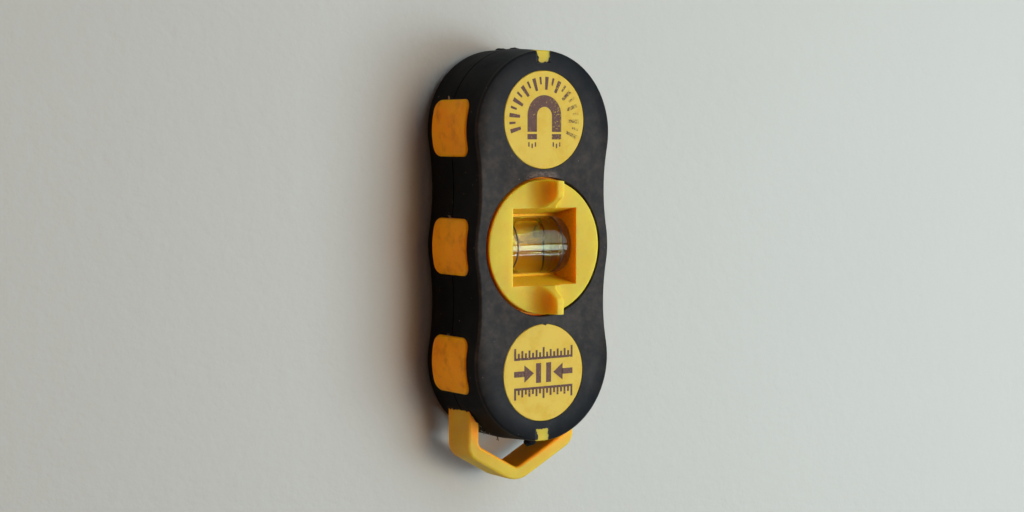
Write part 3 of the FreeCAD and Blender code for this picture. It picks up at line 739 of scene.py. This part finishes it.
def make_wall():
    """A large wall just behind the back, open over the back itself so that light reaches it there."""
    gap, inset, wall_reach, segments = 0.2 * MM, 0.6 * MM, 4.0, 240
    jacket = nodes["rubber_jacket"]
    tree = BVHTree.FromObject(jacket, bpy.context.evaluated_depsgraph_get())
    rim, far = [], []
    for i in range(segments):
        a = 2 * math.pi * i / segments
        outward = Vector((math.cos(a), 0, math.sin(a)))
        hit = tree.ray_cast(outward * 0.2 + Vector((0, -gap, 0)), -outward)[0]
        radius = math.hypot(hit.x, hit.z) - inset
        rim.append((outward.x * radius, gap, outward.z * radius))
        far.append((outward.x * wall_reach, gap, outward.z * wall_reach))
    mesh = bpy.data.meshes.new("wall")
    mesh.from_pydata(rim + far, [], grid_faces(2, segments, wrap=True))
    mesh.materials.append(painted_wall())
    if mesh.polygons[0].normal.y > 0:
        mesh.flip_normals()
    wall = bpy.data.objects.new("wall", mesh)
    bpy.context.collection.objects.link(wall)


def lamp(name, place, target, size, power, colour):
    """A soft rectangular lamp; size is its width and its height."""
    light = bpy.data.lights.new(name, "AREA")
    light.shape = "RECTANGLE"
    light.size, light.size_y = size
    light.energy = power
    light.color = colour
    holder = bpy.data.objects.new(name, light)
    holder.location = place
    holder.rotation_mode = "QUATERNION"
    holder.rotation_quaternion = (Vector(target) - Vector(place)).to_track_quat("-Z", "Y")
    holder.visible_camera = False
    bpy.context.collection.objects.link(holder)


def blend_by_direction(tree, way, toward, start, end, low, high):
    """A colour that goes from low to high as a direction turns toward another."""
    dot = tree.nodes.new("ShaderNodeVectorMath")
    dot.operation = "DOT_PRODUCT"
    dot.inputs[1].default_value = Vector(toward).normalized()
    tree.links.new(way, dot.inputs[0])
    ramp = tree.nodes.new("ShaderNodeMapRange")
    ramp.interpolation_type = "SMOOTHSTEP"
    ramp.inputs["From Min"].default_value = start
    ramp.inputs["From Max"].default_value = end
    tree.links.new(dot.outputs["Value"], ramp.inputs["Value"])
    blend = tree.nodes.new("ShaderNodeMix")
    blend.data_type = "RGBA"
    for socket, colour in ((blend.inputs[6], low), (blend.inputs[7], high)):
        if isinstance(colour, bpy.types.NodeSocket):
            tree.links.new(colour, socket)
        else:
            socket.default_value = colour
    tree.links.new(ramp.outputs[0], blend.inputs[0])
    return blend.outputs[2]


def studio():
    """A cool window on the right, a warm lamp in front, a warm glow far off on the left, and a dim room."""
    middle = Vector((0, -12 * MM, 0))
    dim, lit, behind = (0.05, 0.035, 0.03, 1), (0.2, 0.2, 0.22, 1), (0.8, 0.81, 0.82, 1)
    angle = math.radians(KEY_ANGLE)
    for i, (rise, width, height, power) in enumerate(PANES):
        place = middle + KEY_DISTANCE * Vector((math.sin(angle), -math.cos(angle), rise))
        lamp(f"key_{i}", place, middle, (width * KEY_DISTANCE, height * KEY_DISTANCE),
             power * KEY_DISTANCE**2, (0.76, 0.895, 0.97))
    lamp("warm_lamp", Vector((0.31, -1.47, 0.12)), middle, (0.46, 0.46), 6.5, (1.0, 0.53, 0.2))
    lamp("left_bounce", Vector((-1.0, -0.1, 0)), middle, (0.16, 0.6), 2.3, (1.0, 0.37, 0.09))
    world = bpy.data.worlds.new("room")
    bpy.context.scene.world = world
    world.use_nodes = True
    tree = world.node_tree
    background = tree.nodes["Background"]
    way = tree.nodes.new("ShaderNodeTexCoord").outputs["Generated"]
    room = blend_by_direction(tree, way, (1, -0.2, 0.15), -0.6, 0.9, dim, lit)
    room = blend_by_direction(tree, way, (0, 1, 0), 0.0, 0.35, room, behind)
    seen = tree.nodes.new("ShaderNodeMix")
    seen.data_type = "RGBA"
    seen.inputs[7].default_value = (0.6, 0.615, 0.575, 1)
    tree.links.new(room, seen.inputs[6])
    path = tree.nodes.new("ShaderNodeLightPath")
    tree.links.new(path.outputs["Is Camera Ray"], seen.inputs[0])
    tree.links.new(seen.outputs[2], background.inputs["Color"])
    background.inputs["Strength"].default_value = 1.0


def make_camera():
    """A camera with a long lens, left of the tool and a little above its middle."""
    azimuth, elevation, roll = math.radians(-34.994), math.radians(3.382), math.radians(0.141)
    distance, lens = 472.52 * MM, 67.53
    target = Vector((-0.471 * MM, -10.25 * MM, -2.874 * MM))
    back = Vector((math.sin(azimuth) * math.cos(elevation), -math.cos(azimuth) * math.cos(elevation),
                   math.sin(elevation)))
    level_right = Vector((0, 0, 1)).cross(back).normalized()
    level_up = back.cross(level_right)
    right = level_right * math.cos(roll) + level_up * math.sin(roll)
    up = back.cross(right)
    camera_data = bpy.data.cameras.new("camera")
    camera_data.lens = lens
    camera_data.sensor_width = 36
    camera_data.clip_start = 0.01
    camera = bpy.data.objects.new("camera", camera_data)
    turn = Matrix((right, up, back)).transposed().to_4x4()
    camera.matrix_world = Matrix.Translation(target + back * distance) @ turn
    bpy.context.collection.objects.link(camera)
    bpy.context.scene.camera = camera


make_wall()
studio()
make_camera()
bpy.context.scene.view_settings.view_transform = "Standard"
